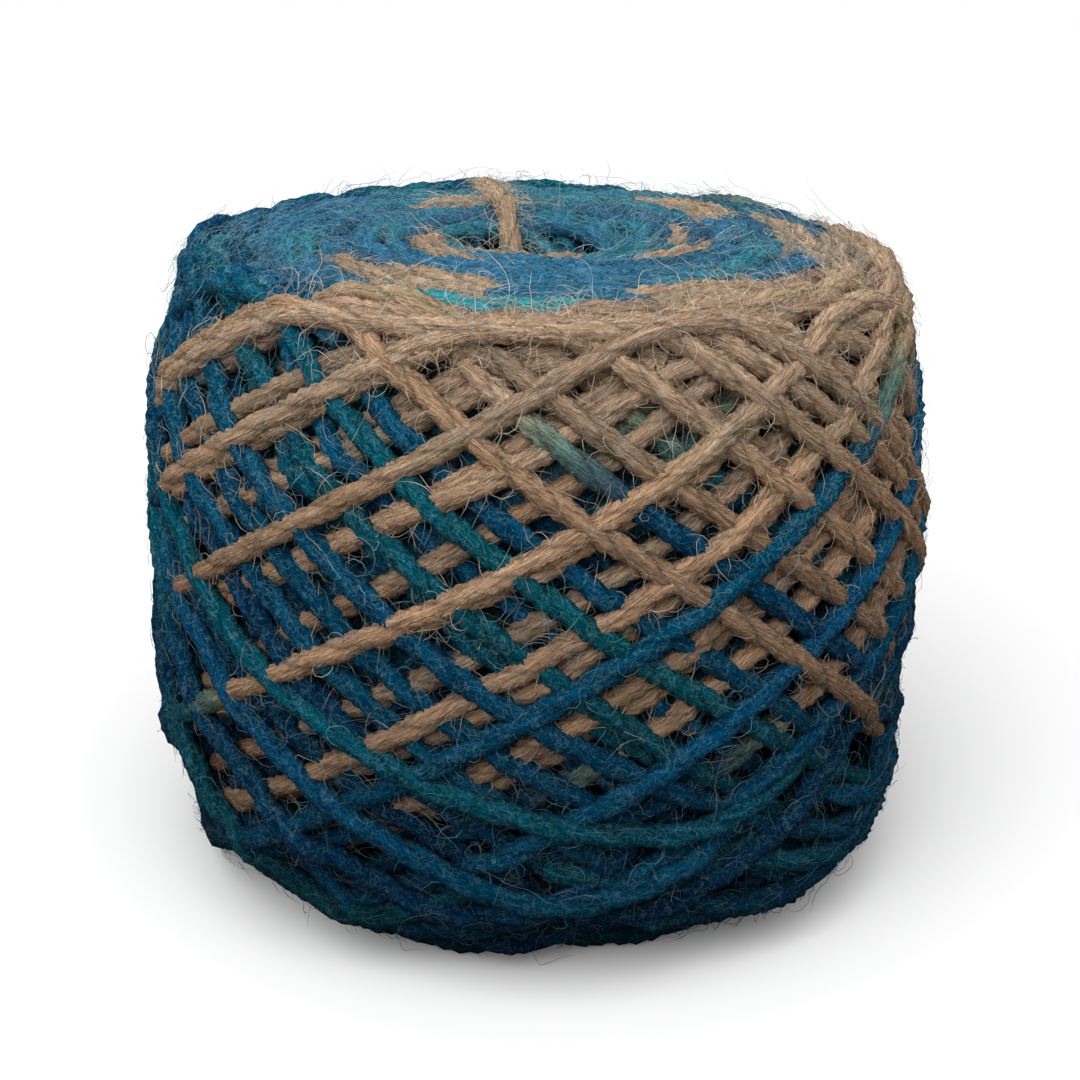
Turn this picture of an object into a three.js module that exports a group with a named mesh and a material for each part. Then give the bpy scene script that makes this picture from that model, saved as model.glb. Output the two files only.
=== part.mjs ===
// Yarn cake: worsted yarn wound crosswise on a ball winder into a squat drum that pulls from its centre.
// The drum is one closed solid with a through bore and the ridges of the last wraps standing on its side.
// The centre-pull end is a second solid: it climbs out of the bore, lies across the top and hangs
// over the far rim.

import * as THREE from 'three';

// Driving sizes, in millimetres and degrees. An azimuth runs from the front (-Y) round to the right (+X).
const YARN = 3.0; // thickness of the yarn
const RIM_HEIGHT = 77.2; // mean height of the rim of the top face
const DOME = 1.3; // how far the top face rises inside the rim
const BORE_RADIUS = 9.4;
const LIP = 4.6; // rounding where the top face turns down into the bore
const FOOT_RADIUS = 37.5; // outer radius of the flat the cake stands on
const FOOT_BEVEL = 3.2; // width and height of the worn edge where the bore meets the foot
const TILT_BACK = 1.5; // the rim is this much higher at the back than at its middle
const TILT_LEFT = 0.8; // and this much higher at the left

// One wrap runs as a rounded zigzag between two turning heights. It climbs over CLIMB degrees, falls
// over FALL degrees, and the next wrap starts that much further round.
const TURN_MIDDLE = 40;
const TURN_REACH = 36;
const CLIMB = 162;
const FALL = 129;
const TURN_ROUNDING = 0.98; // 1 would give sharp turns

const RIDGE_HALF_WIDTH = 3.4;
const SWIRL_ARMS = 5; // bundles of turns that curl round the top face
const SWIRL_PITCH = 11;
const SWIRL_HEIGHT = 0.45;

const COLUMNS = 90; // facets round the cake
const SIDE_STEP = 2.5; // height of a side facet

// Girth of the cake: mean radius at each height, and how much further the left side swells.
const GIRTH = [
  { height: 1.4, radius: 40.9, swell: 0.0 },
  { height: 4, radius: 44.2, swell: 0.5 },
  { height: 7, radius: 46.8, swell: 1.0 },
  { height: 11, radius: 48.0, swell: 1.1 },
  { height: 17, radius: 48.5, swell: 1.4 },
  { height: 24, radius: 48.5, swell: 1.4 },
  { height: 32, radius: 48.9, swell: 0.7 },
  { height: 40, radius: 49.0, swell: 0.3 },
  { height: 48, radius: 48.6, swell: 0.2 },
  { height: 56, radius: 48.0, swell: 0.6 },
  { height: 63, radius: 47.1, swell: 0.3 },
  { height: 69, radius: 45.5, swell: -0.3 },
  { height: 73, radius: 44.2, swell: -0.5 },
  { height: 76, radius: 42.4, swell: 0.0 },
];

// The last wraps, outermost first: azimuth of the upper turn, and how far the ridge stands out.
const LAST_WRAPS = [
  { turn: 25, stand: 2.1 },
  { turn: 94, stand: 2.1 },
  { turn: -114, stand: 2.0 },
  { turn: -36, stand: 2.0 },
  { turn: 175, stand: 1.9 },
  { turn: 55, stand: 1.6 },
  { turn: 79, stand: 1.6 },
  { turn: -13, stand: 1.6 },
  { turn: 11, stand: 1.5 },
  { turn: -75, stand: 1.4 },
  { turn: 136, stand: 1.5 },
  { turn: -150, stand: 1.4 },
];
const STAND = 1.5; // mean stand of the wraps, taken off the girth to find the ground beneath them

// Route of the centre-pull end, from where it leaves the wall of the bore to its bare end.
const TAIL_ROUTE = [
  { x: -3.4, y: 6.6, z: 58.0 },
  { x: -3.5, y: 6.7, z: 63.5 },
  { x: -3.5, y: 6.7, z: 69.0 },
  { x: -3.5, y: 6.7, z: 73.4 },
  { x: -3.8, y: 7.5, z: 77.6 },
  { x: -4.3, y: 9.8, z: 80.1 },
  { x: -4.9, y: 13.1, z: 81.0 },
  { x: -5.4, y: 17.2, z: 81.0 },
  { x: -6.0, y: 21.4, z: 81.2 },
  { x: -6.6, y: 25.6, z: 81.5 },
  { x: -7.2, y: 29.8, z: 81.3 },
  { x: -7.8, y: 34.0, z: 81.3 },
  { x: -8.3, y: 37.6, z: 81.2 },
  { x: -8.7, y: 40.2, z: 80.2 },
  { x: -9.1, y: 42.3, z: 78.2 },
  { x: -9.5, y: 44.1, z: 76.0 },
  { x: -9.8, y: 45.6, z: 73.4 },
  { x: -10.2, y: 46.5, z: 70.1 },
  { x: -10.6, y: 46.8, z: 66.4 },
  { x: -11.0, y: 47.3, z: 62.7 },
  { x: -11.3, y: 48.1, z: 59.1 },
  { x: -11.5, y: 49.2, z: 55.6 },
  { x: -11.6, y: 49.6, z: 52.2 },
];
const TAIL_STEPS = 46;
const TAIL_SIDES = 8;

function onTable(height, column) {
  const last = GIRTH.length - 1;
  if (height <= GIRTH[0].height) return GIRTH[0][column];
  if (height >= GIRTH[last].height) return GIRTH[last][column];
  const above = GIRTH.findIndex((row) => row.height > height);
  const low = GIRTH[above - 1];
  const high = GIRTH[above];
  const share = (height - low.height) / (high.height - low.height);
  return THREE.MathUtils.lerp(low[column], high[column], share);
}

function wrapHeight(degreesFromTurn) {
  const span = degreesFromTurn < 0 ? CLIMB : FALL;
  const wave = TURN_ROUNDING * Math.cos((Math.PI * degreesFromTurn) / span);
  return TURN_MIDDLE + (TURN_REACH * Math.asin(wave)) / Math.asin(TURN_ROUNDING);
}

// How far the last wraps stand out from the ground at one azimuth and height.
function ridge(azimuth, height) {
  const radius = onTable(height, 'radius');
  let stand = 0;
  for (const wrap of LAST_WRAPS) {
    for (const lap of [-360, 0, 360]) {
      const along = azimuth - wrap.turn + lap;
      if (along < -CLIMB || along > FALL) continue;
      const rise = wrapHeight(along + 0.5) - wrapHeight(along - 0.5);
      const slope = rise / THREE.MathUtils.degToRad(radius);
      const away = (height - wrapHeight(along)) / Math.hypot(1, slope);
      if (Math.abs(away) > RIDGE_HALF_WIDTH) continue;
      const crest = 0.5 + 0.5 * Math.cos((Math.PI * away) / RIDGE_HALF_WIDTH);
      stand = Math.max(stand, wrap.stand * crest);
    }
  }
  return stand;
}

function swirl(azimuth, radius) {
  const phase = THREE.MathUtils.degToRad(SWIRL_ARMS * azimuth) + (2 * Math.PI * radius) / SWIRL_PITCH;
  return SWIRL_HEIGHT * Math.cos(phase);
}

function topHeight(radius) {
  const share = THREE.MathUtils.clamp((41 - radius) / 21, 0, 1);
  return RIM_HEIGHT + DOME * Math.sin((Math.PI / 2) * share);
}

// A place on the cake from its azimuth, radius and level height, with the slant of the top worked in.
function place(azimuth, radius, level) {
  const turn = THREE.MathUtils.degToRad(azimuth);
  const x = radius * Math.sin(turn);
  const y = -radius * Math.cos(turn);
  const slant = (TILT_BACK * y - TILT_LEFT * x) / 42;
  return new THREE.Vector3(x, y, level + (slant * level) / RIM_HEIGHT);
}

// The section of the cake as rows of points, from the foot out, up the side, over the top, down the bore.
function sectionRows() {
  const rows = [];
  for (const radius of [BORE_RADIUS + FOOT_BEVEL, 22, 30, FOOT_RADIUS]) {
    rows.push((azimuth) => place(azimuth, radius, 0));
  }
  for (let height = 1.4; height < 73.5; height += SIDE_STEP) {
    rows.push((azimuth) => {
      const left = -Math.sin(THREE.MathUtils.degToRad(azimuth));
      const ground = onTable(height, 'radius') + left * onTable(height, 'swell') - STAND;
      const footFade = THREE.MathUtils.smoothstep(height, 0, 6);
      return place(azimuth, ground + footFade * ridge(azimuth, height), height);
    });
  }
  for (const shoulder of [{ radius: 42.9, height: 74.9 }, { radius: 41.4, height: 76.5 }]) {
    rows.push((azimuth) => {
      const out = ridge(azimuth, shoulder.height) - STAND;
      return place(azimuth, shoulder.radius + 0.6 * out, shoulder.height + 0.6 * out);
    });
  }
  for (const radius of [38.8, 35, 31, 27, 23, 19]) {
    rows.push((azimuth) => place(azimuth, radius, topHeight(radius) + swirl(azimuth, radius)));
  }
  const lipTop = topHeight(BORE_RADIUS + LIP);
  for (const turn of [90, 60, 30, 0]) {
    const bend = THREE.MathUtils.degToRad(turn);
    const radius = BORE_RADIUS + LIP - LIP * Math.cos(bend);
    rows.push((azimuth) => place(azimuth, radius, lipTop - LIP + LIP * Math.sin(bend)));
  }
  for (const height of [58, 40, 22]) {
    rows.push((azimuth) => place(azimuth, BORE_RADIUS, height));
  }
  rows.push((azimuth) => place(azimuth, BORE_RADIUS, FOOT_BEVEL));
  return rows;
}

function woundBody() {
  const rows = sectionRows();
  const positions = [];
  for (const row of rows) {
    for (let column = 0; column < COLUMNS; column += 1) {
      positions.push(...row((360 * column) / COLUMNS).toArray());
    }
  }
  const point = (index) => new THREE.Vector3().fromArray(positions, 3 * index);
  const corners = [];
  for (let row = 0; row < rows.length; row += 1) {
    const here = row * COLUMNS;
    const next = ((row + 1) % rows.length) * COLUMNS;
    for (let column = 0; column < COLUMNS; column += 1) {
      const beside = (column + 1) % COLUMNS;
      const [a, b, c, d] = [here + column, here + beside, next + beside, next + column];
      // A facet folds along the diagonal that stands further out, so ridges stay sharp both ways.
      const climbing = point(a).add(point(c)).setZ(0).length();
      const falling = point(b).add(point(d)).setZ(0).length();
      if (climbing > falling - 0.01) corners.push(a, b, c, a, c, d);
      else corners.push(a, b, d, b, c, d);
    }
  }
  const geometry = new THREE.BufferGeometry();
  geometry.setAttribute('position', new THREE.Float32BufferAttribute(positions, 3));
  geometry.setIndex(corners);
  geometry.computeVertexNormals();
  return geometry;
}

function tailTube() {
  const route = new THREE.CatmullRomCurve3(TAIL_ROUTE.map(({ x, y, z }) => new THREE.Vector3(x, y, z)));
  const section = new THREE.Shape();
  for (let side = 0; side < TAIL_SIDES; side += 1) {
    const turn = (2 * Math.PI * side) / TAIL_SIDES;
    const corner = [(YARN / 2) * Math.cos(turn), (YARN / 2) * Math.sin(turn)];
    if (side === 0) section.moveTo(...corner);
    else section.lineTo(...corner);
  }
  section.closePath();
  return new THREE.ExtrudeGeometry(section, {
    steps: TAIL_STEPS,
    extrudePath: route,
    bevelEnabled: false,
  });
}

const bodyMaterial = new THREE.MeshStandardMaterial({ color: 0x1c6478, roughness: 0.95, metalness: 0 });
const tailMaterial = new THREE.MeshStandardMaterial({ color: 0xb49674, roughness: 0.95, metalness: 0 });

const body = new THREE.Mesh(woundBody(), bodyMaterial);
body.name = 'wound_yarn';

const cake = new THREE.Group();
cake.add(body);

if (TAIL_ROUTE.length > 3) {
  const tail = new THREE.Mesh(tailTube(), tailMaterial);
  tail.name = 'centre_tail';
  cake.add(tail);
}

// The frame's origin is the middle of the body's box, on the surface it stands on.
body.geometry.computeBoundingBox();
const middle = body.geometry.boundingBox.getCenter(new THREE.Vector3());
cake.position.set(-middle.x, -middle.y, 0);

export default cake;
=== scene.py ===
# %% Load the fixed frame
import math

import bmesh
import bpy
import numpy as np
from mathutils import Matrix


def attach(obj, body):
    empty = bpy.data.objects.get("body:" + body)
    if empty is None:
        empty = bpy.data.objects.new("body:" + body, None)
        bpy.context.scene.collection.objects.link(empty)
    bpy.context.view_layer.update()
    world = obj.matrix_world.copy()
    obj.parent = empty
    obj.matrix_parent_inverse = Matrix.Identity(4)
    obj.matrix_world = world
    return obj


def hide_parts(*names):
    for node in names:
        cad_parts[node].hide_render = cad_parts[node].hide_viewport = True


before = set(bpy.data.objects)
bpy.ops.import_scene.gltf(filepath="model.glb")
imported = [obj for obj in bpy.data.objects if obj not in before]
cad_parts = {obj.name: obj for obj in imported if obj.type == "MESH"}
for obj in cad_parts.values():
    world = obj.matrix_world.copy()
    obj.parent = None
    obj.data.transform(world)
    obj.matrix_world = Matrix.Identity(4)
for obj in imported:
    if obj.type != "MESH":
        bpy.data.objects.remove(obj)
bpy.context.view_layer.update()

# %% [markdown]
# A yarn cake is one long strand of wool, wound crosswise on a ball winder into a squat drum. Every size here
# is in millimetres and turned into metres at the last moment, because yarn is easier to think about that way.
# Azimuths are in degrees, from the front (-Y) round to the right (+X).

# %% Driving sizes
MM = 0.001
YARN = 3.0
RIM_HEIGHT = 77.2
RIM_RADIUS = 42
DOME = 1.3  # how far the top face rises inside the rim
BORE_RADIUS = 9.4
TILT_BACK = 2.0  # the rim is this much higher at the back than at its middle
TILT_LEFT = 0.8  # and this much higher at the left
MIDDLE = (0.651, 0.130)  # the box of the wound body is centred on the origin, so the bore sits this far off

# %% [markdown]
# The camera stands a little above the rim and looks down at nineteen degrees, so that the top face shows as a
# flat ellipse. It comes first, with the floor and the lights, so that every later piece can be judged at once.
# A sun seventy degrees wide and one small fill from the front give wool its velvety falloff. Small hard lamps
# would make it look like plastic. Only the lights are placed in metres.

# %% Camera, floor and lights
LOOK_DOWN = 19
CAMERA_BACK = 200
CAMERA_UP = 107
SUN_WIDTH = 70
scene = bpy.context.scene


def placed(name, data, at, turn):
    """Link a new object for data at a place, turned by angles in degrees."""
    thing = bpy.data.objects.new(name, data)
    thing.location = at
    thing.rotation_euler = [math.radians(angle) for angle in turn]
    scene.collection.objects.link(thing)
    return thing


lens = bpy.data.cameras.new("camera")
lens.lens = 54
lens.sensor_width = 36
lens.clip_start = 0.01
camera_at = (MIDDLE[0] * MM, (MIDDLE[1] - CAMERA_BACK) * MM, CAMERA_UP * MM)
scene.camera = placed("camera", lens, camera_at, (90 - LOOK_DOWN, 0, 0))

sky = bpy.data.lights.new("soft_sky", "SUN")
sky.energy = 2.1
sky.angle = math.radians(SUN_WIDTH)
placed("soft_sky", sky, (0, -0.3, 0.6), (32, -6, 0))

fill = bpy.data.lights.new("front_fill", "AREA")
fill.energy = 1.0
fill.shape = "DISK"
fill.size = 0.5
placed("front_fill", fill, (-0.25, -0.45, 0.40), (50, 0, -28))


def seen_brighter(tree, socket, falling, seen):
    """Feed a socket one value for the light that falls on the wool and another for what the camera sees."""
    ray = tree.nodes.new("ShaderNodeLightPath")
    tone = tree.nodes.new("ShaderNodeMapRange")
    tone.inputs["To Min"].default_value = falling
    tone.inputs["To Max"].default_value = seen
    tree.links.new(ray.outputs["Is Camera Ray"], tone.inputs["Value"])
    tree.links.new(tone.outputs[0], socket)


# The camera sees a bright room, but only a part of that light falls on the wool, so its folds stay deep.
world = bpy.data.worlds.new("studio")
world.use_nodes = True
backdrop = world.node_tree.nodes["Background"]
backdrop.inputs["Color"].default_value = (1.0, 1.0, 1.0, 1)
seen_brighter(world.node_tree, backdrop.inputs["Strength"], 0.55, 1.0)
scene.world = world
scene.view_settings.view_transform = "Standard"

sheet = bmesh.new()
bmesh.ops.create_grid(sheet, x_segments=1, y_segments=1, size=4)
floor_mesh = bpy.data.meshes.new("floor")
sheet.to_mesh(floor_mesh)
sheet.free()
floor = placed("floor", floor_mesh, (0, 0, -0.0001), (0, 0, 0))
paper = bpy.data.materials.new("floor_paper")
paper.use_nodes = True
surface = paper.node_tree.nodes["Principled BSDF"]
surface.inputs["Roughness"].default_value = 0.9
seen_brighter(paper.node_tree, surface.inputs["Base Color"], 0.25, 0.93)
floor_mesh.materials.append(paper)
print("camera", CAMERA_BACK, "mm back and", CAMERA_UP, "mm up, looking down", LOOK_DOWN, "degrees")

# %% [markdown]
# The yarn is a two-ply worsted. Its section is two round plies side by side, and the section turns once in
# every 13 mm as it travels, which is what makes the rope-like look. Each ply could be a tube of its own, at
# twice the triangles, but one lobed section looks the same. Geometry Nodes sweeps it well: a mesh of bare
# edges carries the route, its thickness, its twist and its dye, and Curve to Mesh takes the section along it.
# The same helper spins every strand and, with a plain three-sided section, every loose fibre.

# %% A node group that spins strands from bare edges
PLY_PITCH = 13
PLY = 0.80
FRESH_START = 7.3  # each strand starts this much further along the streaks, so no two look alike


def spinner(name, corners, lobed):
    """A node group that sweeps a section of so many corners along the edges of a mesh."""
    group = bpy.data.node_groups.new(name, "GeometryNodeTree")
    group.interface.new_socket("Geometry", in_out="INPUT", socket_type="NodeSocketGeometry")
    group.interface.new_socket("Geometry", in_out="OUTPUT", socket_type="NodeSocketGeometry")
    nodes, links = group.nodes, group.links

    def add(kind, *feeds, **settings):
        node = nodes.new(kind)
        for key, value in settings.items():
            setattr(node, key, value)
        for socket, feed in feeds:
            if isinstance(feed, bpy.types.NodeSocket):
                links.new(feed, node.inputs[socket])
            else:
                node.inputs[socket].default_value = feed
        return node

    def named(attribute, kind="FLOAT"):
        return add("GeometryNodeInputNamedAttribute", ("Name", attribute), data_type=kind).outputs[0]

    def maths(operation, *feeds):
        return add("ShaderNodeMath", *enumerate(feeds), operation=operation).outputs[0]

    start = nodes.new("NodeGroupInput")
    ring = add("GeometryNodeCurvePrimitiveCircle", ("Resolution", corners), ("Radius", 1.0)).outputs[0]
    spot = add("GeometryNodeInputPosition").outputs[0]
    ring = add(
        "GeometryNodeStoreNamedAttribute", ("Geometry", ring), ("Name", "around"), ("Value", spot),
        data_type="FLOAT_VECTOR",
    ).outputs[0]
    if lobed:
        # Two plies pressed together: each is PLY thick, with its middle 1 - PLY from the strand's own middle.
        parts = add("ShaderNodeSeparateXYZ", (0, spot)).outputs
        side_squared = maths("MULTIPLY", maths("MULTIPLY", parts[1], parts[1]), (1 - PLY) ** 2)
        reach = maths("ADD", maths("MULTIPLY", maths("ABSOLUTE", parts[0]), 1 - PLY),
                      maths("SQRT", maths("SUBTRACT", PLY**2, side_squared)))
        lobe = add("ShaderNodeVectorMath", (0, spot), ("Scale", reach), operation="SCALE").outputs[0]
        ring = add("GeometryNodeSetPosition", ("Geometry", ring), ("Position", lobe)).outputs[0]
    line = add("GeometryNodeMeshToCurve", ("Mesh", start.outputs[0])).outputs[0]
    line = add("GeometryNodeSetCurveTilt", ("Curve", line), ("Tilt", named("twist"))).outputs[0]
    tube = add(
        "GeometryNodeCurveToMesh", ("Curve", line), ("Profile Curve", ring), ("Scale", named("thickness")),
        ("Fill Caps", True),
    ).outputs[0]
    # Fibres run along the strand rather than round with the plies, so the section's own place is turned back.
    turned = add("ShaderNodeVectorRotate", ("Vector", named("around", "FLOAT_VECTOR")),
                 ("Angle", named("twist")), rotation_type="Z_AXIS").outputs[0]
    parts = add("ShaderNodeSeparateXYZ", (0, turned)).outputs
    fibre_space = add("ShaderNodeCombineXYZ", (0, parts[0]), (1, parts[1]), (2, named("along"))).outputs[0]
    tube = add(
        "GeometryNodeStoreNamedAttribute", ("Geometry", tube), ("Name", "fibre_space"),
        ("Value", fibre_space), data_type="FLOAT_VECTOR",
    ).outputs[0]
    tube = add("GeometryNodeSetShadeSmooth", (0, tube)).outputs[0]
    finish = nodes.new("NodeGroupOutput")
    links.new(tube, finish.inputs[0])
    return group


strand_spinner = spinner("strand_spinner", 9, lobed=True)
hidden_spinner = spinner("hidden_spinner", 8, lobed=True)
fibre_spinner = spinner("fibre_spinner", 3, lobed=False)
print("spinners:", strand_spinner.name, hidden_spinner.name, fibre_spinner.name)


def spun(name, strands, group):
    """Spin strands into one mesh piece. Each is a dict of points in mm, dye rows with painted light and shade
    worked in where there is some, and thickness.
    """
    counts = [len(strand["points"]) for strand in strands]
    points = np.concatenate([strand["points"] for strand in strands])
    ends = np.cumsum(counts)
    first = np.arange(ends[-1])
    first = np.delete(first, ends - 1)
    mesh = bpy.data.meshes.new(name)
    mesh.vertices.add(len(points))
    mesh.edges.add(len(first))
    mesh.vertices.foreach_set("co", (points * MM).ravel())
    mesh.edges.foreach_set("vertices", np.stack([first, first + 1], 1).astype(np.int32).ravel())
    steps = np.zeros(len(points))
    steps[1:] = np.linalg.norm(np.diff(points, axis=0), axis=1)
    steps[ends[:-1]] = FRESH_START
    along = np.cumsum(steps)
    dye = np.concatenate([strand["dye"] for strand in strands])
    thickness = np.concatenate([np.broadcast_to(strand["thickness"], n) for strand, n in zip(strands, counts)])
    for title, kind, values in (
        ("along", "FLOAT", along),
        ("twist", "FLOAT", along * 2 * math.pi / PLY_PITCH),
        ("thickness", "FLOAT", thickness * MM / 2),
    ):
        mesh.attributes.new(title, kind, "POINT").data.foreach_set("value", values.astype(np.float32))
    rgba = np.ones((len(points), 4), np.float32)
    rgba[:, :3] = dye
    mesh.attributes.new("dye", "FLOAT_COLOR", "POINT").data.foreach_set("color", rgba.ravel())
    route = placed(name + "_route", mesh, (0, 0, 0), (0, 0, 0))
    route.modifiers.new("spin", "NODES").node_group = group
    shape = bpy.data.meshes.new_from_object(
        route.evaluated_get(bpy.context.evaluated_depsgraph_get()), preserve_all_data_layers=True,
        depsgraph=bpy.context.evaluated_depsgraph_get(),
    )
    bpy.data.objects.remove(route)
    bpy.data.meshes.remove(mesh)
    shape.name = name
    piece = placed(name, shape, (0, 0, 0), (0, 0, 0))
    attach(piece, "root")
    print(name, len(strands), "strands,", round(along[-1] / 1000, 2), "m,", len(shape.polygons), "faces")
    return piece

# %% [markdown]
# The centre-pull end is the only loose end that shows. It leaves the wall of the bore, climbs over the lip and
# lies across the top, and its last stretch hangs down the far side. A curve drawn by hand would do, but a list
# of stops can be kept beside that of the tail's solid. The route is the solid's, apart from sinking up to 2 mm
# deeper between the turns of the top face, where yarn presses yarn aside.

# %% The centre-pull end
TAIL_ROUTE = [
    (-3.4, 6.6, 58.0), (-3.5, 6.7, 63.5), (-3.5, 6.7, 69.0), (-3.5, 6.7, 72.7), (-3.8, 7.7, 76.3),
    (-4.3, 10.2, 79.0), (-4.9, 13.7, 80.1), (-5.4, 17.4, 80.0), (-6.0, 21.4, 79.7), (-6.6, 25.6, 79.7),
    (-7.2, 29.8, 79.5), (-7.8, 34.0, 79.4), (-8.3, 37.6, 79.1), (-8.7, 40.2, 78.4), (-9.1, 42.3, 76.9),
    (-9.5, 43.7, 75.0), (-9.8, 44.7, 72.6), (-10.2, 45.2, 69.4), (-10.6, 45.6, 66.0), (-11.0, 46.2, 62.4),
    (-11.3, 46.8, 59.0), (-11.5, 47.4, 55.5), (-11.6, 47.7, 52.2),
]
TAIL_DYE = (0.43, 0.29, 0.185)


def smooth_route(stops, steps=4):
    """A Catmull-Rom line through the stops, with so many steps between two of them."""
    stops = np.asarray(stops, float)
    padded = np.vstack([2 * stops[0] - stops[1], stops, 2 * stops[-1] - stops[-2]])
    t = np.linspace(0, 1, steps, endpoint=False)[:, None]
    runs = [
        0.5 * (2 * b + (c - a) * t + (2 * a - 5 * b + 4 * c - d) * t**2 + (3 * b - a - 3 * c + d) * t**3)
        for a, b, c, d in zip(padded, padded[1:], padded[2:], padded[3:])
    ]
    return np.vstack(runs + [stops[-1:]])


def strand(points, dye):
    """A strand through points measured from the bore's own axis."""
    points = np.asarray(points, float) + np.array([*MIDDLE, 0])
    return {"points": points, "dye": np.broadcast_to(dye, (len(points), 3)), "thickness": YARN}


tail = strand(smooth_route(TAIL_ROUTE), TAIL_DYE)
centre_end = spun("centre_pull_end", [tail], strand_spinner)
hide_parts("centre_tail")

# %% [markdown]
# A ball winder turns the cake while its arm swings, so each wrap is a rounded zigzag: it climbs over 162
# degrees, turns at the rim, falls over 129 degrees and turns at the foot. Each wrap starts 69 degrees back
# from the one before it. Wraps drawn one by one would never keep those angles, and a law of a few lines does.
# The table names the last wraps one by one, outermost first, because their order and dye are what one sees. The
# wraps under them follow from the same law.

# %% The winding law
TURN_MIDDLE = 40  # height at which a wrap is halfway
TURN_REACH = 36  # and how far above that its upper turn lies
CLIMB = 162
FALL = 129
RIM_ROUNDING = 0.98  # 1 would make the turns at the rim sharp, and less makes them wider
FOOT_ROUNDING = 0.90
PRECESSION = -69
GIRTH = np.array([  # height, mean radius, and how much further the left side swells
    (0, 38.5, 0.0), (1.4, 40.9, 0.0), (4, 43.9, 0.0), (7, 46.4, 0.3), (11, 47.9, 0.8), (17, 48.5, 1.3),
    (24, 48.5, 1.4), (32, 48.9, 0.7), (40, 49.0, 0.3), (48, 48.6, 0.2), (56, 48.0, 0.6), (63, 47.1, 0.3),
    (69, 45.5, -0.3), (73, 44.2, -0.5), (76, 42.4, 0.0), (78.5, 40.0, 0.0),
])
DYES = {
    "tan": (0.415, 0.250, 0.145),
    "straw": (0.375, 0.250, 0.160),
    "blue": (0.0, 0.070, 0.148),
    "navy": (0.0, 0.042, 0.105),
    "teal": (0.0, 0.090, 0.138),
    "aqua": (0.006, 0.165, 0.20),
}
WARM = ("tan", "straw")
WARM_DRIFT = (0.15, 0.15, 0.15)  # how much each channel plays along a strand: a tan only in brightness,
COOL_DRIFT = (0, 0.22, -0.08)  # and a blue also towards teal
SIDE_DYES = ("blue", "teal", "navy")  # past the sides, where the last of the tan has run out
HAZE_IN_SHADE = (0.006, 0.050, 0.066)  # painted shade of a deep strand, greyed by the loose fibres in front of it
LAST_WRAPS = [  # azimuth of the upper turn, and the dye near the foot, of the climbing and the falling leg
    (-112, "navy", "navy", "teal"), (-128, "blue", "blue", "blue"), (-143, "teal", "teal", "navy"),
    (-160, "blue", "blue", "teal"), (22, "blue", "tan", "tan"), (-10, "blue", "straw", "tan"),
    (90, "blue", "blue", "navy"),
    (-34, "teal", "tan", "tan"), (148, "blue", "blue", "teal"), (170, "navy", "navy", "blue"),
    (122, "blue", "blue", "navy"), (182, "teal", "teal", "navy"), (55, "teal", "tan", "tan"),
    (-4, "blue", "tan", "tan"), (-52, "blue", "blue", "teal"), (-76, "navy", "navy", "blue"),
    (79, "tan", "tan", "blue"), (-97, "navy", "navy", "blue"), (7, "teal", "tan", "tan"),
    (-14, "blue", "tan", "tan"), (-64, "navy", "navy", "teal"), (-87, "teal", "teal", "blue"),
    (158, "navy", "navy", "teal"), (-26, "blue", "blue", "navy"), (-105, "teal", "teal", "navy"),
    (-120, "blue", "blue", "navy"), (37, "tan", "tan", "tan"), (62, "tan", "tan", "navy"),
    (31, "tan", "tan", "tan"), (98, "tan", "tan", "navy"), (-44, "navy", "navy", "blue"),
    (85, "tan", "tan", "blue"), (46, "tan", "tan", "tan"), (137, "navy", "tan", "navy"),
    (-70, "blue", "blue", "teal"), (71, "tan", "straw", "navy"), (103, "tan", "tan", "blue"),
    (112, "blue", "tan", "tan"), (-82, "blue", "blue", "navy"), (-58, "navy", "navy", "blue"),
    (14, "blue", "tan", "tan"), (4, "blue", "tan", "tan"),
]
LONG_TURNS = {-10: 46, 37: 20, 7: 24, 14: 20, 62: 16}  # degrees that a wrap runs along the rim before it falls
RIM_DROPS = {37: -2.8, 7: -1.2, 14: -3.6, 62: -2.2, 4: -2.0, 31: -1.0}  # mm that a wrap turns below the rim
FOOT_TURNS = {-112: 20, -128: 13, -143: 10, -160: 7.5, 170: 9, 148: 6, 182: 14, 122: 5, -76: 12, -97: 8}
UNDER_WRAPS = 36
UNDER_DYES = ("navy", "blue", "teal", "blue")


def wrap_height(along, low, level_run=0):
    """Height along a wrap from its upper turn, for a wrap whose lower turns are at the height low."""
    along = np.sign(along) * np.clip(np.abs(along) - level_run / 2, 0, None)
    wave = np.cos(np.pi * along / np.where(along < 0, CLIMB, FALL))
    above = TURN_REACH * np.arcsin(RIM_ROUNDING * wave) / np.arcsin(RIM_ROUNDING)
    below = (TURN_MIDDLE - low) * np.arcsin(FOOT_ROUNDING * wave) / np.arcsin(FOOT_ROUNDING)
    return TURN_MIDDLE + np.where(wave > 0, above, below)


def girth(azimuth, height):
    """Radius of the cake's wall, which swells a little more at the left."""
    left = -np.sin(np.radians(azimuth))
    return np.interp(height, GIRTH[:, 0], GIRTH[:, 1]) + left * np.interp(height, GIRTH[:, 0], GIRTH[:, 2])


def slant(x, y):
    """How much higher the rim stands here than at its middle."""
    return (TILT_BACK * y - TILT_LEFT * x) / RIM_RADIUS


def place(azimuth, radius, level):
    """Points on the cake from azimuth, radius and level height, with the slant of the top worked in."""
    turn = np.radians(azimuth)
    x, y = radius * np.sin(turn), -radius * np.cos(turn)
    return np.stack(np.broadcast_arrays(x, y, level + slant(x, y) * level / RIM_HEIGHT), -1)


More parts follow.
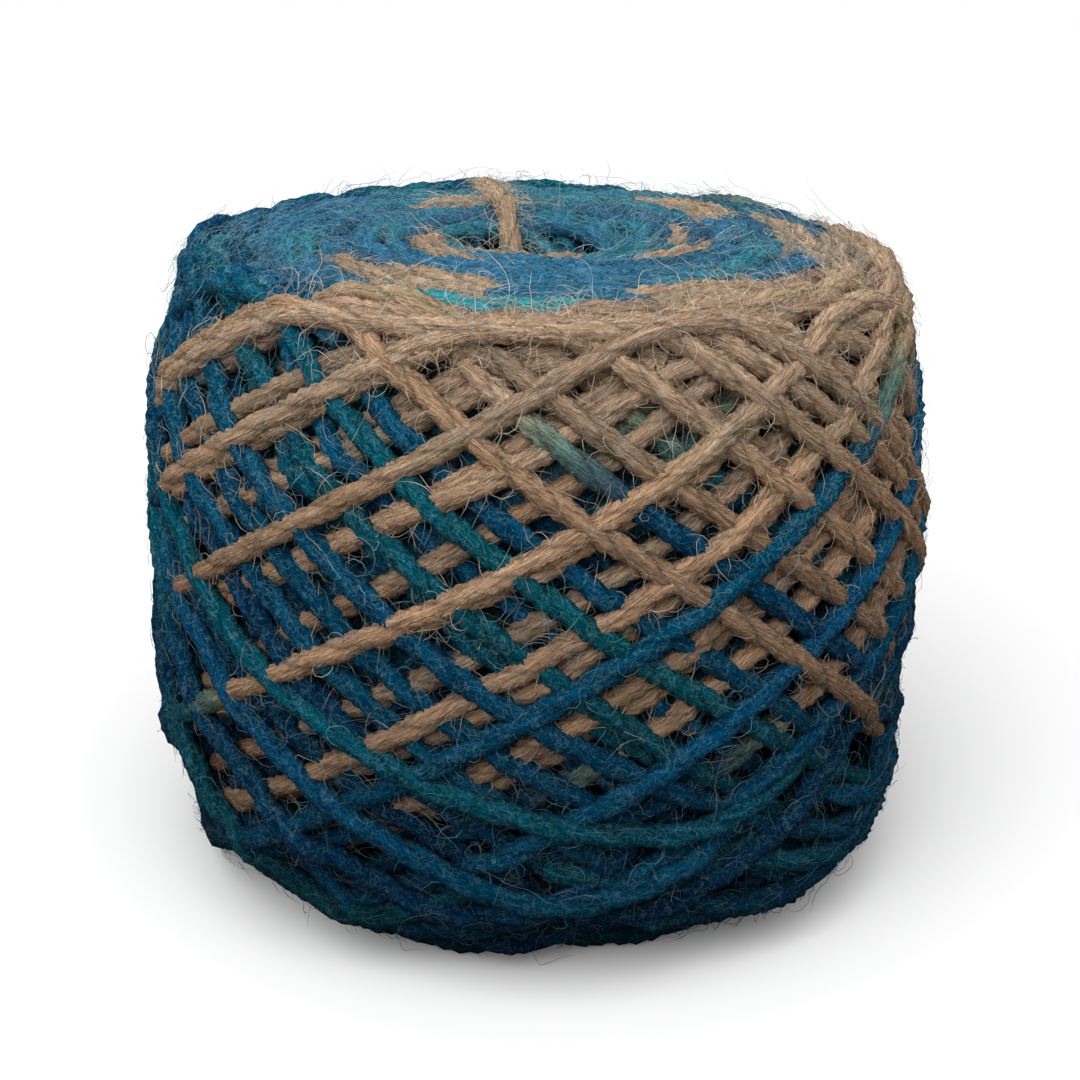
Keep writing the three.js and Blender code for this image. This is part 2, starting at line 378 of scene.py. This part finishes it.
def blend(first, second, share):
    """Mix two dyes. Halfway from a warm one to a cool one, wool looks greyed teal rather than mauve."""
    first, second = np.broadcast_arrays(np.asarray(first, float), np.asarray(second, float))
    both = first * (1 - share) + second * share
    contrast = np.clip(np.abs(first - second)[..., :1] / 0.35, 0, 1)
    return both * (1 - np.array([0.55, 0, 0]) * contrast * 4 * share * (1 - share))


chance = np.random.default_rng(11)
wraps = [
    {"turn": turn, "foot": foot, "climb": climb, "fall": fall}
    for turn, foot, climb, fall in reversed(LAST_WRAPS)
]
for step in range(UNDER_WRAPS):
    turn = LAST_WRAPS[-1][0] - PRECESSION * (step + 1)
    dye = UNDER_DYES[step // 2 % 4]
    wraps.insert(0, {"turn": turn, "foot": dye, "climb": dye, "fall": dye})
print(len(wraps), "wraps on the side")

# %% [markdown]
# The wraps can't pass through each other, so they are laid in the order in which the winder lays them. Physics
# could settle them, slowly and never twice alike, so a grid does it instead: round the side it keeps the
# height of everything laid so far. Each new strand rests on the highest thing under it, is pulled straight
# between its supports, presses in a little, and then raises the grid in its turn. Where more yarn crosses than
# on the rest of that height, the ground is lowered afterwards, as the wraps below give way and the cake stays
# round.

# %% Laying the wraps on a height grid
CELLS_AROUND = 720
CELLS_UP = 165
UP_STEP = 0.5
SQUEEZE = 0.8  # mm that a strand presses into what it lies on
CREASE = 0.55  # and this much more where it is pulled straight over a crossing
HALF = YARN / 2 * 0.94
WALL = 46  # radius at which degrees along a wrap are turned into mm
relief = np.zeros((CELLS_AROUND, CELLS_UP))


def cell(azimuth, height):
    """Column and row of the grid."""
    column = np.floor(azimuth * CELLS_AROUND / 360).astype(int) % CELLS_AROUND
    return column, np.clip(np.floor(height / UP_STEP).astype(int), 0, CELLS_UP - 1)


def beside(azimuth, height, offset):
    """The azimuths and heights that lie so many mm to the side of a route on the cake's wall."""
    run = np.gradient(azimuth) * math.radians(1) * WALL
    rise = np.gradient(height)
    length = np.hypot(run, rise)
    return azimuth - np.degrees(offset * rise / length / WALL), height + offset * run / length


def eased(values, reach):
    """A running mean over so many steps each way."""
    padded = np.pad(values, reach, mode="edge")
    return np.convolve(padded, np.ones(2 * reach + 1) / (2 * reach + 1), mode="valid")


def lay(azimuth, height):
    """Heights of a strand's middle above the ground, once it is laid on what is there."""
    support = np.full(len(azimuth), -9.0)
    for offset in np.linspace(-1.2, 1.2, 7):
        under = relief[cell(*beside(azimuth, height, offset))]
        support = np.maximum(support, under + math.sqrt(HALF**2 - offset**2))
    middle = support - SQUEEZE
    middle = np.maximum(middle, eased(eased(middle, 8), 5))
    middle -= 0.5 * np.clip(middle - eased(middle, 10), 0, None)
    middle = eased(eased(middle, 3), 2)
    middle = eased(np.maximum(middle, support - SQUEEZE - CREASE), 1)
    for offset in np.linspace(-HALF, HALF, 9):
        top = middle + math.sqrt(max(HALF**2 - offset**2, 0))
        np.maximum.at(relief, cell(*beside(azimuth, height, offset)), top)
    return middle


OVERRUN = 34  # degrees that each wrap runs on past its lower turns, where it dives under the others
LAY_STEP = 1.75
LOWEST = 2.0
HALF_WRAP = 145  # degrees from an upper turn to a lower one, near enough
along = np.arange(-CLIMB - OVERRUN, FALL + OVERRUN, LAY_STEP)
over = np.clip(np.maximum(-CLIMB - along, along - FALL), 0, None) / OVERRUN
for wrap in wraps:
    wander = eased(eased(chance.normal(0, 5, len(along)), 14), 8)
    reach = RIM_DROPS.get(wrap["turn"], 0) + chance.normal(0, 0.6)
    wrap["azimuth"] = wrap["turn"] + along + 0.5 * wander
    low = FOOT_TURNS.get(wrap["turn"], chance.uniform(2.2, 10.5))
    level = wrap_height(along, low, LONG_TURNS.get(wrap["turn"], 6))
    level = level + 0.4 * wander + reach * np.cos(np.pi * along / HALF_WRAP)
    wrap["height"] = np.clip(level, LOWEST, None)
    wrap["middle"] = lay(wrap["azimuth"], wrap["height"]) - 7 * np.clip(over * 2 - 1, 0, None) ** 1.2
build_up = eased(eased(np.percentile(relief, 90, axis=0), 4), 4)
broad = sum(np.roll(relief, step, axis=0) for step in range(-48, 49, 4)) / 25
broad = np.apply_along_axis(eased, 1, broad, 12)
uneven = 0.85 * (broad - broad.mean(axis=0))  # where more yarn lies than on the rest of that height
print("build-up of the wraps by height:", build_up[::20].round(1))
print("uneven by", uneven.min().round(1), "to", uneven.max().round(1))

# %% [markdown]
# Most of the length that was laid is hidden for good, and building it would waste triangles. A stretch is kept
# where some part of its skin still reaches the top of the grid, with a few steps more at each end so that it
# dives out of sight. Its dye changes along its length as on hand-dyed yarn: tan legs run into blue near the
# foot and past both sides. Strands that lie deep are painted darker, as shade falls between the strands over
# them, and hazy with the fibres in front of them.

# %% Keeping the stretches that show
levels = (np.arange(CELLS_UP) + 0.5) * UP_STEP
SHOWS = 0.35  # a skin that lies no deeper than this under the top of the grid still shows
DEEP_SHADE = 0.50
PROUD = 0.3  # a strand that stands out past the girth by more than this is pressed back,
PROUD_GIVES = 0.6  # by this share of the rest
STRAW_RIM = (-30, 108)  # azimuths between which the upper turns are straw
RIM_START = 68
RIGHT_END = 72  # azimuths past which the dye runs into a blue, with a spread from wrap to wrap
LEFT_END = -71


def showing(wrap):
    """Where along a wrap it can be seen."""
    seen = np.zeros(len(along))
    for offset in np.linspace(-1.25, 1.25, 7):
        skin = wrap["middle"] + math.sqrt(HALF**2 - offset**2)
        top = relief[cell(*beside(wrap["azimuth"], wrap["height"], offset))]
        seen += skin > top - SHOWS
    return np.convolve(seen > 1, np.ones(9), mode="same") > 0


def stretches(mask):
    """Start and end of each run of steps for which the mask is true, leaving out the shortest."""
    edges = np.flatnonzero(np.diff(np.concatenate([[0], mask.astype(int), [0]])))
    return [(a, b) for a, b in zip(edges[::2], edges[1::2]) if b - a > 4]


surroundings = sum(np.roll(relief, step, axis=0) for step in range(-10, 11)) / 21
surroundings = np.apply_along_axis(eased, 1, surroundings, 9)
side = []
for wrap in wraps:
    # Painted shade: a strand that lies deeper than the wall round it gets less light, which darkens its colour.
    sunk = surroundings[cell(wrap["azimuth"], wrap["height"])] - wrap["middle"] - HALF
    light = 1 - DEEP_SHADE * np.clip((eased(sunk, 3) + 0.4) / 2.6, 0, 1)
    ground = girth(wrap["azimuth"], wrap["height"]) - np.interp(wrap["height"], levels, build_up)
    ground -= eased(uneven[cell(wrap["azimuth"], wrap["height"])], 2)
    radius = ground + wrap["middle"]
    proud = radius + HALF - girth(wrap["azimuth"], wrap["height"])
    radius -= PROUD_GIVES * np.clip(proud - PROUD, 0, None)
    points = place(wrap["azimuth"], radius, wrap["height"])
    foot_share = np.clip((-100 - along) / 14, 0, 1)[:, None]
    fall_share = np.clip((along + 12) / 24, 0, 1)[:, None]
    dye = blend(blend(DYES[wrap["climb"]], DYES[wrap["foot"]], foot_share), DYES[wrap["fall"]], fall_share)
    if STRAW_RIM[0] < (wrap["turn"] + 180) % 360 - 180 < STRAW_RIM[1]:
        rim_share = np.clip((wrap["height"] - 60) / 9, 0, 1)[:, None]
        dye = blend(dye, DYES["straw"], rim_share)
    bearing = (wrap["azimuth"][:, None] + 180) % 360 - 180
    below_rim = RIM_START - wrap["height"][:, None]
    right_end = RIGHT_END + wrap["turn"] * 7 % 18
    left_end = LEFT_END + 12 * np.clip(below_rim / 22, 0, 1) - wrap["turn"] * 5 % 7
    round_the_side = np.clip((bearing - right_end) / 8, 0, 1) + np.clip((left_end - bearing) / 6, 0, 1)
    side_share = round_the_side * np.clip(below_rim / 8, 0, 1)
    dye = blend(dye, DYES[SIDE_DYES[wrap["turn"] % 3]], side_share)
    drift = eased(eased(chance.normal(0, 1, len(along)), 9), 5)[:, None]
    dye = dye * (1 + drift * np.array(WARM_DRIFT if wrap["climb"] in WARM else COOL_DRIFT))
    dye = dye * chance.normal(1, 0.10)
    # Painted shade: the dye is darkened and greyed where the strand lies deep, so it carries shade as well as
    # dye.
    dye = dye * light[:, None] + np.array(HAZE_IN_SHADE) * (1 - light[:, None])
    for a, b in stretches(showing(wrap)):
        piece = strand(points[a:b], dye[a:b])
        piece["warm"] = wrap["climb"] in WARM
        piece["lit"] = light[a:b]
        side.append(piece)
print(len(side), "stretches on the side,", sum(len(piece["points"]) for piece in side), "steps")

# %% [markdown]
# The top face is made of turns too: every wrap inside the cake showed its upper turn there before the next
# layers closed round it. So the face is rings of short arcs. Each arc starts on the inner side of its ring,
# humps up, and dives under its neighbours on the outer side. Whole turns laid in rings would look combed, and
# laying every layer would take the time of the real winding. The foot is the same, pressed flat. Dye comes in
# patches, because wraps that were wound one after another lie side by side.
# On the top face the blues are painted lighter, as light falls on it from above.

# %% Turns on the top face, on the foot and in the bore
LIP = 4.6
ARC_REACH = 13  # mm from the middle of an arc to either end
ARC_DIVE = 2.6  # mm that its ends dive
RING_TURN = 47  # degrees from the first arc of a ring to that of the next
TOP_PATCHES = [  # azimuth, radius, reach in degrees, reach in mm, dye
    (-31, 28, 19, 3.2, "tan"), (-62, 16, 30, 4.0, "tan"), (-20, 12, 30, 2.4, "straw"),
    (74, 18, 24, 4.5, "tan"), (38, 35, 24, 5.0, "tan"), (-8, 39, 26, 2.4, "tan"), (72, 39, 42, 5.5, "straw"),
    (-22, 34, 16, 2.8, "aqua"), (6, 34.5, 12, 2.4, "aqua"), (-75, 40, 20, 5, "teal"), (-110, 34, 30, 9, "blue"),
    (95, 33, 24, 4, "straw"), (140, 30, 18, 4, "tan"), (-150, 24, 22, 4, "tan"),
    (0, 22, 36, 10, "blue"), (180, 30, 60, 12, "teal"),
]
FACE_DYES = ("blue", "teal", "navy", "blue", "teal", "blue", "navy")
FACE_LIGHT_AND_HAZE = (0.030, 0.045, 0.040)  # painted light and haze: the fibres on the top face catch the light from above


def top_level(radius):
    """Height of the top face, which domes a little and rounds over into the bore."""
    share = np.clip((41 - radius) / 21, 0, 1)
    round_over = np.clip(BORE_RADIUS + LIP - radius, 0, LIP)
    return RIM_HEIGHT + DOME * np.sin(np.pi / 2 * share) - (LIP - np.sqrt(LIP**2 - round_over**2))


def patch_dye(azimuth, radius, otherwise):
    """The dye of the first patch that holds this spot of the top face."""
    for middle, ring, reach, width, dye in TOP_PATCHES:
        gap = (azimuth - middle + 180) % 360 - 180
        if (gap / reach) ** 2 + ((radius - ring) / width) ** 2 < 1:
            return dye
    return otherwise


def face_turns(rings, spacing, is_top):
    """Short arcs of yarn on rings of the top face or the foot."""
    arcs = []
    run = np.linspace(-ARC_REACH, ARC_REACH, 15)
    for ring, radius in enumerate(rings):
        count = round(2 * math.pi * radius / spacing)
        for number in range(count):
            azimuth = 360 * (number + chance.uniform(-0.2, 0.2)) / count + RING_TURN * ring
            out = radius + chance.uniform(-0.5, 0.5) + 0.15 * run
            drop = ARC_DIVE * np.abs(run / ARC_REACH) ** 2.6 + chance.uniform(0, 0.6)
            if is_top:
                level = top_level(out) - YARN / 2 + 0.35 - drop
                dye = patch_dye(azimuth, radius, FACE_DYES[(ring + number // 3) % 7])
            else:
                level = YARN / 2 + 0.05 + drop
                dye = FACE_DYES[(2 * ring + number // 4) % 7]
            points = place(azimuth + np.degrees(run / radius), out, level)
            shade = np.array(DYES[dye]) * chance.normal(1, 0.08)
            # Painted light: on the top face, where light falls from above, the blues are made half as light
            # again and all take on a pale haze. The tans are dimmed a little.
            if is_top:
                shade = shade * (0.9 if dye in WARM else 1.5) + np.array(FACE_LIGHT_AND_HAZE)
            arcs.append(strand(points, shade))
            arcs[-1]["lit"] = np.full(len(points), 1.0 if is_top else 0.5)
            arcs[-1]["warm"] = dye in WARM
    return arcs


top_arcs = face_turns(np.arange(11.2, 39.5, 2.15), 14.5, True)
foot_arcs = face_turns(np.arange(12.6, 38.5, 2.5), 17, False)

BORE_WRAPS = 11
BORE_HIDDEN = (14, 38)  # between these heights the wall of the bore can't be seen, and stays bare
bore_legs = []
for number in range(BORE_WRAPS):
    run = np.arange(-CLIMB, FALL, 4.0)
    height = wrap_height(run, 4) - 1.5
    radius = BORE_RADIUS + 1.25 + 0.5 * (number % 2) + 1.6 * np.clip((height - 70) / 5, 0, 1)
    points = place(number * 131 + run, radius, height)
    # The strands in the bore are painted a tenth darker, as shade falls in the hole.
    for a, b in stretches((height > BORE_HIDDEN[1]) | (height < BORE_HIDDEN[0])):
        bore_legs.append(strand(points[a:b], np.array(DYES[FACE_DYES[number % 7]]) * 0.9))
        bore_legs[-1]["warm"] = False
print(len(top_arcs), "arcs on top,", len(foot_arcs), "on the foot,", len(bore_legs), "legs in the bore")

# %% [markdown]
# Under the strands that show lies a plain core, painted dark as the shade deep in the gaps between them. Beyond
# that it only stops light from shining through the gaps. A section drawn once and spun round the bore gives it
# a true hole, which a closed drum would lack. At each height it lies a little above the bottom of the wraps
# that were laid there.

# %% The core under the strands
CORE_COVER = 1.6
core_section = [
    (BORE_RADIUS + 2.6, 4.5), (BORE_RADIUS + 2.6, 70), (15, RIM_HEIGHT - 3.4), (36, RIM_HEIGHT - 4.2),
]
for height in np.arange(72, 5, -6):
    depth = np.interp(height, levels, build_up) - CORE_COVER
    core_section.append((float(np.interp(height, GIRTH[:, 0], GIRTH[:, 1]) - depth), float(height)))
core_section.append((34, 3.6))

turner = bmesh.new()
ring = [turner.verts.new((radius * MM, 0, level * MM)) for radius, level in core_section]
edges = [turner.edges.new(pair) for pair in zip(ring, ring[1:] + ring[:1])]
bmesh.ops.spin(
    turner, geom=ring + edges, cent=(0, 0, 0), axis=(0, 0, 1), angle=math.tau, steps=72, use_merge=True,
)
bmesh.ops.remove_doubles(turner, verts=turner.verts, dist=1e-6)
for vert in turner.verts:
    vert.co.z *= 1 + slant(vert.co.x / MM, vert.co.y / MM) / RIM_HEIGHT
    vert.co.x += MIDDLE[0] * MM
    vert.co.y += MIDDLE[1] * MM
bmesh.ops.recalc_face_normals(turner, faces=turner.faces)
core_mesh = bpy.data.meshes.new("core")
turner.to_mesh(core_mesh)
turner.free()
core = placed("inner_wraps", core_mesh, (0, 0, 0), (0, 0, 0))
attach(core, "root")
print("core", len(core_mesh.polygons), "faces")

# %% [markdown]
# The strands become a few joined pieces, split by dye so that each can be picked and looked at alone, and
# kept small enough for any program to open. A piece for each strand would be easier to edit, but slow.

# %% Spinning the strands
STEPS_A_PIECE = 9400
wool_pieces = []


def spun_in_parts(name, strands, group=strand_spinner):
    """Spin strands into as few pieces as their steps allow, numbered if there is more than one."""
    batch, steps, part = [], 0, 1
    for one in strands + [None]:
        full = one is None or steps + len(one["points"]) > STEPS_A_PIECE
        if full and batch:
            title = name if one is None and part == 1 else f"{name}_{part}"
            wool_pieces.append(spun(title, batch, group))
            batch, steps, part = [], 0, part + 1
        if one is not None:
            batch.append(one)
            steps += len(one["points"])


spun_in_parts("side_wraps_tan", [one for one in side if one["warm"]])
spun_in_parts("side_wraps_blue", [one for one in side if not one["warm"]])
spun_in_parts("top_turns", top_arcs)
spun_in_parts("foot_turns", foot_arcs, hidden_spinner)
spun_in_parts("bore_legs", bore_legs, hidden_spinner)
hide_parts("wound_yarn")

# %% [markdown]
# Wool is fuzzy. Short fibres hug the strands and longer curly ones wander across the gaps, and they are paler
# than the strand they grow from because light passes through them. Blender has hair for this, but hair gets
# lost when the model is exported, so these are spun like the strands. Each fibre takes small steps whose
# heading drifts at random, with a gentle pull back towards the surface, and none rises far above it.

# %% Loose fibres
HUB_RADIUS = 27
HUB_HEIGHTS = (17, 62)
PALE_WARM = (0.60, 0.56, 0.47)
PALE_COOL = (0.30, 0.46, 0.50)
WARM_FROM = 0.03  # a dye with more red than this is a warm one
FLOOR_GAP = 0.15  # no fibre comes nearer to the floor


def outward_of(points):
    """The way out of the cake at each point, measured from a ring inside its thickness."""
    flat = points[:, :2] - np.array(MIDDLE)
    reach = np.linalg.norm(flat, axis=1, keepdims=True)
    hub = np.hstack([flat / reach * HUB_RADIUS, np.clip(points[:, 2:], *HUB_HEIGHTS)])
    way = np.hstack([flat, points[:, 2:]]) - hub
    return way / np.linalg.norm(way, axis=1, keepdims=True)


def fibres(hosts, count, steps, span, curl, drift, lift, ceiling, pale):
    """Grow loose fibres from the outer skin of the host strands."""
    points = np.concatenate([host["points"][1:-1] for host in hosts])
    ahead = np.concatenate([host["points"][2:] - host["points"][:-2] for host in hosts])
    dyes = np.concatenate([host["dye"][1:-1] for host in hosts])
    lit = np.concatenate([host.get("lit", np.ones(len(host["points"])))[1:-1] for host in hosts])
    pick = chance.choice(len(points), count, p=lit**3 / (lit**3).sum())
    way_out = outward_of(points[pick])
    tangent = ahead[pick] / np.linalg.norm(ahead[pick], axis=1, keepdims=True)
    across = np.cross(tangent, way_out)
    lean = chance.uniform(0.2, 1.3, (count, 1)) * chance.choice([-1, 1], (count, 1))
    skin = way_out * np.cos(lean) + across * np.sin(lean)
    root = points[pick] + skin * YARN * 0.43
    heading = tangent * chance.normal(0, 0.7, (count, 1)) + across * np.sign(lean) * 0.6
    heading += skin * lift * 0.6 + 0.4 * chance.normal(0, 1, (count, 3))
    pace = chance.uniform(*span, (count, 1)) / steps
    curl_axis = way_out + 0.5 * chance.normal(0, 1, (count, 3))
    curl_axis *= chance.normal(0, curl, (count, 1)) * pace
    line = [root]
    for _ in range(steps):
        heading /= np.linalg.norm(heading, axis=1, keepdims=True)
        line.append(line[-1] + heading * pace)
        above = ((line[-1] - root) * way_out).sum(1, keepdims=True)
        heading = heading + np.cross(curl_axis, heading) + drift * chance.normal(0, 1, (count, 3))
        heading -= way_out * np.clip(above / ceiling, -0.2, 2) * 0.6
    lines = np.stack(line, 1)
    above = ((lines - root[:, None]) * way_out[:, None]).sum(2, keepdims=True)
    lines -= way_out[:, None] * (above - ceiling * np.tanh(above / ceiling))
    lines[:, :, 2] = np.maximum(lines[:, :, 2], FLOOR_GAP)
    taper = np.interp(np.linspace(0, 1, steps + 1), (0, 0.15, 0.7, 1), (0.7, 1, 0.9, 0.25))
    grown = []
    for number in range(count):
        own = dyes[pick[number]]
        paler = np.array(PALE_WARM if own[0] > WARM_FROM else PALE_COOL)
        tint = own * (1.3 - pale) + paler * pale
        tint = tint * chance.uniform(0.6, 1.3)
        thickness = chance.uniform(0.045, 0.080) * taper
        dye = np.broadcast_to(tint, (steps + 1, 3))
        grown.append({"points": lines[number], "dye": dye, "thickness": thickness})
    return grown


# Each row: how many fibres, of how many steps, how long in mm, then how much they curl, drift at random and
# stand up at the root, how many mm they may rise, and how pale they are.
fuzz_pieces = []
hosts = side + top_arcs * 2 + foot_arcs[::3] + [tail] * 3
for name, count, steps, span, curl, drift, lift, ceiling, pale in (
    ("fuzz_short", 7000, 2, (1.0, 2.6), 0.3, 0.30, 0.8, 0.6, 0.45),
    ("fuzz_mid_1", 6800, 4, (2.2, 4.5), 0.7, 0.25, 0.45, 0.5, 0.5),
    ("fuzz_mid_2", 6000, 5, (3.0, 6.5), 0.8, 0.22, 0.5, 0.6, 0.6),
    ("fuzz_long", 3000, 9, (5, 12), 0.5, 0.18, 0.5, 0.9, 0.8),
):
    grown = fibres(hosts, count, steps, span, curl, drift, lift, ceiling, pale)
    fuzz_pieces.append(spun(name, grown, fibre_spinner))

# %% [markdown]
# The finish is wool, so it is nearly all roughness, with hardly any shine or sheen. A picture wrapped round the
# strand would have to be drawn first and would blur when seen close, so the finish is all procedural. The dye
# rides on the mesh as a colour attribute, and in places carries painted light and shade as well. Over it run
# long thin streaks that follow the strand, because the fibres do, and the same streaks raise a fine bump. The
# groove between the two plies is painted darker, as shade falls in it, thin pale curls stand for the fibres
# that are too fine to build, and all of it is painted darker towards the foot, where less light falls.

# %% Wool finishes
WISP = (0.050, 0.090, 0.096, 1)
# The core's colour is painted shade: darker than any dye, for the yarn deep in the gaps.
CORE_SHADE_COLOUR = (0.002, 0.030, 0.050, 1)
TOP_OF_CAKE = 0.08  # in metres, as the shader measures


def wool(name, streaked):
    """A wool finish: the dye, thin pale curls on top, painted shade towards the foot and, on strands, long
    streaks with a fine bump and painted shade in the ply groove.
    """
    stuff = bpy.data.materials.new(name)
    stuff.use_nodes = True
    nodes, links = stuff.node_tree.nodes, stuff.node_tree.links
    shader = nodes["Principled BSDF"]
    shader.inputs["Roughness"].default_value = 0.95
    shader.inputs["Specular IOR Level"].default_value = 0.01
    shader.inputs["Sheen Weight"].default_value = 0.005
    shader.inputs["Sheen Roughness"].default_value = 0.5

    def add(kind, *feeds, out=0, **settings):
        node = nodes.new(kind)
        for key, value in settings.items():
            setattr(node, key, value)
        for socket, feed in feeds:
            if isinstance(feed, bpy.types.NodeSocket):
                links.new(feed, node.inputs[socket])
            else:
                node.inputs[socket].default_value = feed
        return node.outputs[out]

    def attribute(title, out="Vector"):
        return add("ShaderNodeAttribute", attribute_name=title, out=out)

    def noise(place, scale, detail, warp=0.0):
        return add("ShaderNodeTexNoise", ("Vector", place), ("Scale", scale), ("Detail", detail),
                   ("Roughness", 0.6), ("Distortion", warp), out="Fac")

    def ramp(feed, stops):
        node = nodes.new("ShaderNodeValToRGB")
        elements = node.color_ramp.elements
        while len(elements) < len(stops):
            elements.new(0.5)
        for element, (at, grey) in zip(elements, stops):
            element.position = at
            element.color = (grey, grey, grey, 1)
        links.new(feed, node.inputs[0])
        return node.outputs[0]

    def mixed(kind, factor, a, b):
        return add("ShaderNodeMix", (0, factor), (6, a), (7, b), data_type="RGBA", blend_type=kind, out=2)

    def thin_lines(feed, width):
        """Turn a noise into the thin lines along which it is halfway, like a level line on a map."""
        away = add("ShaderNodeMath", (0, feed), (1, 0.5), operation="SUBTRACT")
        away = add("ShaderNodeMath", (0, away), operation="ABSOLUTE")
        return ramp(away, [(0.0, 1.0), (width, 0.0)])

    colour = attribute("dye", "Color")
    spot = add("ShaderNodeTexCoord", out="Object")
    if streaked:
        parts = nodes.new("ShaderNodeSeparateXYZ")
        links.new(attribute("fibre_space"), parts.inputs[0])
        ring = add("ShaderNodeCombineXYZ", (0, parts.outputs[0]), (1, parts.outputs[1]), (2, 0.0))
        ring = add("ShaderNodeVectorMath", (0, ring), operation="NORMALIZE")

        def streaks(across, along, lean, detail):
            """Noise that is stretched along the strand, leaning by so many radians a millimetre."""
            turn = add("ShaderNodeMath", (0, parts.outputs[2]), (1, lean), operation="MULTIPLY")
            leaning = add("ShaderNodeVectorRotate", ("Vector", ring), ("Angle", turn), rotation_type="Z_AXIS")
            drawn = add("ShaderNodeCombineXYZ", (0, 0.0), (1, 0.0), (2, parts.outputs[2]))
            drawn = add("ShaderNodeVectorMath", (0, drawn), (1, (0.0, 0.0, along)), operation="MULTIPLY")
            place = add("ShaderNodeVectorMath", (0, leaning), (1, (across, across, 0.0)), (2, drawn),
                        operation="MULTIPLY_ADD")
            return noise(place, 1.0, detail)

        fine = streaks(8.0, 0.32, 0.0, 3)
        crossing = streaks(6.0, 0.45, 0.16, 2)
        broad = streaks(2.2, 0.16, -0.05, 2)
        colour = mixed("MULTIPLY", 1.0, colour, ramp(broad, [(0.30, 0.62), (0.70, 1.22)]))
        colour = mixed("MULTIPLY", 1.0, colour, ramp(fine, [(0.30, 0.35), (0.46, 0.90), (0.72, 1.55)]))
        colour = mixed("MULTIPLY", 1.0, colour, ramp(crossing, [(0.30, 0.60), (0.46, 1.0), (0.75, 1.30)]))
        pale = mixed("MULTIPLY", 1.0, colour, (1.7, 1.7, 1.7, 1))
        colour = mixed("MIX", thin_lines(crossing, 0.02), colour, pale)
        # Painted shade: the groove where the two plies meet is darkened, as shade falls in it.
        groove = nodes.new("ShaderNodeSeparateXYZ")
        links.new(attribute("around"), groove.inputs[0])
        groove = add("ShaderNodeMath", (0, groove.outputs[0]), operation="ABSOLUTE")
        colour = mixed("MULTIPLY", 1.0, colour, ramp(groove, [(0.0, 0.55), (0.34, 1.0)]))
        bump = add("ShaderNodeBump", ("Strength", 0.8), ("Distance", 0.0005), ("Height", fine))
        links.new(bump, shader.inputs["Normal"])
    if name != "loose_fibre":
        for scale, width, warp in ((760.0, 0.036, 0.9), (480.0, 0.020, 1.4), (270.0, 0.011, 2.2)):
            wisp = mixed("ADD", 1.0, colour, WISP)
            colour = mixed("MIX", thin_lines(noise(spot, scale, 1.0, warp), width), colour, wisp)
    # Painted shade: everything is darkened towards the foot, where less light falls.
    height = nodes.new("ShaderNodeSeparateXYZ")
    links.new(spot, height.inputs[0])
    height = add("ShaderNodeMapRange", (0, height.outputs[2]), (1, 0.0), (2, TOP_OF_CAKE), (3, 0.0), (4, 1.0))
    shade = ramp(height, [(0.0, 0.12), (0.10, 0.26), (0.22, 0.50), (0.55, 0.70), (0.95, 1.0)])
    colour = mixed("MULTIPLY", 1.0, colour, shade)
    links.new(colour, shader.inputs["Base Color"])
    return stuff


wool_finish = wool("two_ply_wool", True)
fibre_finish = wool("loose_fibre", False)
for piece in wool_pieces + [centre_end]:
    piece.data.materials.clear()
    piece.data.materials.append(wool_finish)
for piece in fuzz_pieces:
    piece.data.materials.clear()
    piece.data.materials.append(fibre_finish)

core_finish = wool("deep_wool", False)
# The core's one dark colour is painted shade, for the yarn deep in the gaps.
core_shade_layer = core_mesh.attributes.new("dye", "FLOAT_COLOR", "POINT")
core_shade_layer.data.foreach_set("color", np.tile(CORE_SHADE_COLOUR, len(core_mesh.vertices)).astype(np.float32))
core_mesh.materials.append(core_finish)
print("finishes:", wool_finish.name, fibre_finish.name, core_finish.name)

# %% [markdown]
# The last cell counts triangles, because a model that is too heavy can't be shared.

# %% Counting triangles
total = 0
for piece in wool_pieces + fuzz_pieces + [centre_end, core]:
    piece.data.calc_loop_triangles()
    total += len(piece.data.loop_triangles)
    print(piece.name, len(piece.data.loop_triangles))
print("triangles in all", total)
